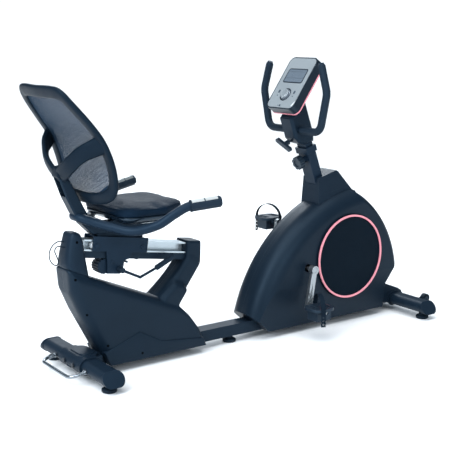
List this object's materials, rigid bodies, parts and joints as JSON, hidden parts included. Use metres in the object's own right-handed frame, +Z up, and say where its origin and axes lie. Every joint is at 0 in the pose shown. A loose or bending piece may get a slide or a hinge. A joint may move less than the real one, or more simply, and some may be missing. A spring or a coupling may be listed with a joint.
{
  "type": "recumbent exercise bike",
  "caption": "Recumbent exercise bike: mesh-backed seat on a sloping rail, low step-through beam, rounded flywheel housing, telescoping mast with console and handlebar.",
  "frame": {"origin": "on the floor, under the middle of the bike's bounding box", "axes": "+X forward, the way the rider faces; +Y to the rider's left; +Z up"},
  "size_m": [1.7214, 0.6294, 1.0927],
  "materials": {
    "frame_steel": "satin black powder coat",
    "dark_steel": "satin black powder coat",
    "shell": "fine satin grain",
    "cover": "fine satin grain",
    "disc": "fine matt grain",
    "trim": "satin",
    "foot_rubber": "matt",
    "chrome": "polished",
    "aluminium": "brushed, clear anodised",
    "bolt_steel": "zinc plated",
    "inner_steel": "grey primer",
    "flywheel_iron": "turned",
    "crank_alloy": "satin",
    "axle_steel": "ground",
    "pedal_plastic": "matt",
    "strap_rubber": "matt",
    "foam": "closed-cell foam",
    "lead": "satin",
    "knob": "matt",
    "console_black": "semi-gloss",
    "console_grey": "satin silver grey",
    "dial_silver": "satin silver",
    "key_grey": "matt",
    "nylon": "satin white",
    "seat_plastic": "semi-gloss",
    "vinyl": "soft vinyl",
    "back_plastic": "satin",
    "mesh": "open knit",
    "belt_rubber": "matt"
  },
  "bodies": {
    "frame": {"main_frame": "frame_steel", "front_stabiliser": "frame_steel", "rear_stabiliser": "frame_steel", "end_caps": "cover", "stabiliser_covers": "cover", "carry_handle": "chrome", "rear_shell_right": "shell", "rear_shell_left": "shell", "column_cover": "cover", "pulse_lead": "lead", "seat_rail": "aluminium", "housing_right": "shell", "housing_left": "shell", "side_discs": "disc", "trim_rings": "trim", "fork_plates": "inner_steel", "drive_belt": "belt_rubber", "mast_tube": "dark_steel", "mast_boot": "cover", "frame_bolts": "bolt_steel"},
    "foot_front_right": {"foot_front_right": "foot_rubber"},
    "foot_front_left": {"foot_front_left": "foot_rubber"},
    "foot_rear_right": {"foot_rear_right": "foot_rubber"},
    "foot_rear_left": {"foot_rear_left": "foot_rubber"},
    "foot_middle": {"foot_middle": "foot_rubber"},
    "flywheel": {"flywheel": "flywheel_iron"},
    "magnets": {"magnet_bracket": "inner_steel"},
    "crankset": {"crank_axle": "axle_steel", "cranks": "crank_alloy"},
    "right_pedal": {"pedal_right": "pedal_plastic", "strap_right": "strap_rubber"},
    "left_pedal": {"pedal_left": "pedal_plastic", "strap_left": "strap_rubber"},
    "mast": {"inner_mast": "dark_steel", "clamp_cover": "cover", "console_body": "console_black", "console_face": "console_grey", "console_strip": "trim"},
    "bars": {"handlebar": "dark_steel", "foam_grips": "foam"},
    "height_knob": {"height_knob": "knob"},
    "tilt_knob": {"tilt_knob": "knob"},
    "dial": {"dial": "dial_silver"},
    "key_left": {"key_left": "key_grey"},
    "key_right": {"key_right": "key_grey"},
    "key_low": {"key_low": "key_grey"},
    "wheel_right": {"wheel_right": "foot_rubber"},
    "wheel_left": {"wheel_left": "foot_rubber"},
    "seat": {"seat_carriage": "dark_steel", "glide_discs": "nylon", "seat_bracket": "cover", "seat_tube": "dark_steel", "seat_grips": "foam", "pulse_plates": "chrome", "seat_base": "seat_plastic", "seat_cushion": "vinyl", "back_frame": "back_plastic", "back_yoke": "back_plastic", "back_mesh": "mesh"},
    "lock_lever": {"lock_lever": "foam"}
  },
  "joints": [
    {"name": "seat_slide", "type": "slide", "parent": "frame", "child": "seat", "axis": [0.989, 0, -0.1478], "range_m": [-0.02, 0.14]},
    {"name": "seat_lock", "type": "hinge", "parent": "seat", "child": "lock_lever", "pos_m": [-0.57712, 0, 0.37012], "axis": [0, 1, 0], "range_deg": [-14, 0]},
    {"name": "mast_height", "type": "slide", "parent": "frame", "child": "mast", "axis": [-0.342, 0, 0.9397], "range_m": [0, 0.1]},
    {"name": "handlebar_tilt", "type": "hinge", "parent": "mast", "child": "bars", "pos_m": [0.24201, 0, 0.81251], "axis": [0, 1, 0], "range_deg": [-12, 8]},
    {"name": "height_knob_turn", "type": "hinge", "parent": "frame", "child": "height_knob", "pos_m": [0.27174, 0, 0.67966], "axis": [0.9397, 0, 0.342], "continuous": true},
    {"name": "tilt_knob_turn", "type": "hinge", "parent": "mast", "child": "tilt_knob", "pos_m": [0.20029, 0, 0.75901], "axis": [0.9397, 0, 0.342], "continuous": true},
    {"name": "dial_turn", "type": "hinge", "parent": "mast", "child": "dial", "pos_m": [0.19753, 0, 0.95177], "axis": [-0.8192, 0, 0.5736], "continuous": true},
    {"name": "key_left_press", "type": "slide", "parent": "mast", "child": "key_left", "axis": [0.8192, 0, -0.5736], "range_m": [0, 0.0015], "stiffness_N_per_m": 400},
    {"name": "key_right_press", "type": "slide", "parent": "mast", "child": "key_right", "axis": [0.8192, 0, -0.5736], "range_m": [0, 0.0015], "stiffness_N_per_m": 400},
    {"name": "key_low_press", "type": "slide", "parent": "mast", "child": "key_low", "axis": [0.8192, 0, -0.5736], "range_m": [0, 0.0015], "stiffness_N_per_m": 400},
    {"name": "flywheel_spin", "type": "hinge", "parent": "frame", "child": "flywheel", "pos_m": [0.4675, 0, 0.288], "axis": [0, 1, 0], "continuous": true},
    {"name": "crank_spin", "type": "hinge", "parent": "frame", "child": "crankset", "pos_m": [0.246, 0, 0.268], "axis": [0, 1, 0], "continuous": true},
    {"name": "right_pedal_spin", "type": "hinge", "parent": "crankset", "child": "right_pedal", "pos_m": [0.21995, -0.197, 0.12028], "axis": [0, 1, 0], "continuous": true},
    {"name": "left_pedal_spin", "type": "hinge", "parent": "crankset", "child": "left_pedal", "pos_m": [0.27205, 0.197, 0.41572], "axis": [0, 1, 0], "continuous": true},
    {"name": "magnet_swing", "type": "hinge", "parent": "frame", "child": "magnets", "pos_m": [0.584, 0, 0.404], "axis": [0, 1, 0], "range_deg": [-8, 0]},
    {"name": "foot_front_right_turn", "type": "hinge", "parent": "frame", "child": "foot_front_right", "pos_m": [0.78, -0.218, 0.01], "axis": [0, 0, 1], "continuous": true},
    {"name": "foot_front_left_turn", "type": "hinge", "parent": "frame", "child": "foot_front_left", "pos_m": [0.78, 0.218, 0.01], "axis": [0, 0, 1], "continuous": true},
    {"name": "foot_rear_right_turn", "type": "hinge", "parent": "frame", "child": "foot_rear_right", "pos_m": [-0.72, -0.208, 0.01], "axis": [0, 0, 1], "continuous": true},
    {"name": "foot_rear_left_turn", "type": "hinge", "parent": "frame", "child": "foot_rear_left", "pos_m": [-0.72, 0.208, 0.01], "axis": [0, 0, 1], "continuous": true},
    {"name": "foot_middle_turn", "type": "hinge", "parent": "frame", "child": "foot_middle", "pos_m": [-0.073, 0, 0.01], "axis": [0, 0, 1], "continuous": true},
    {"name": "wheel_right_spin", "type": "hinge", "parent": "frame", "child": "wheel_right", "pos_m": [0.842, -0.172, 0.066], "axis": [0, 1, 0], "continuous": true},
    {"name": "wheel_left_spin", "type": "hinge", "parent": "frame", "child": "wheel_left", "pos_m": [0.842, 0.172, 0.066], "axis": [0, 1, 0], "continuous": true}
  ],
  "couplings": [
    {"joint": "crank_spin", "follows": "flywheel_spin", "ratio": 0.2}
  ]
}
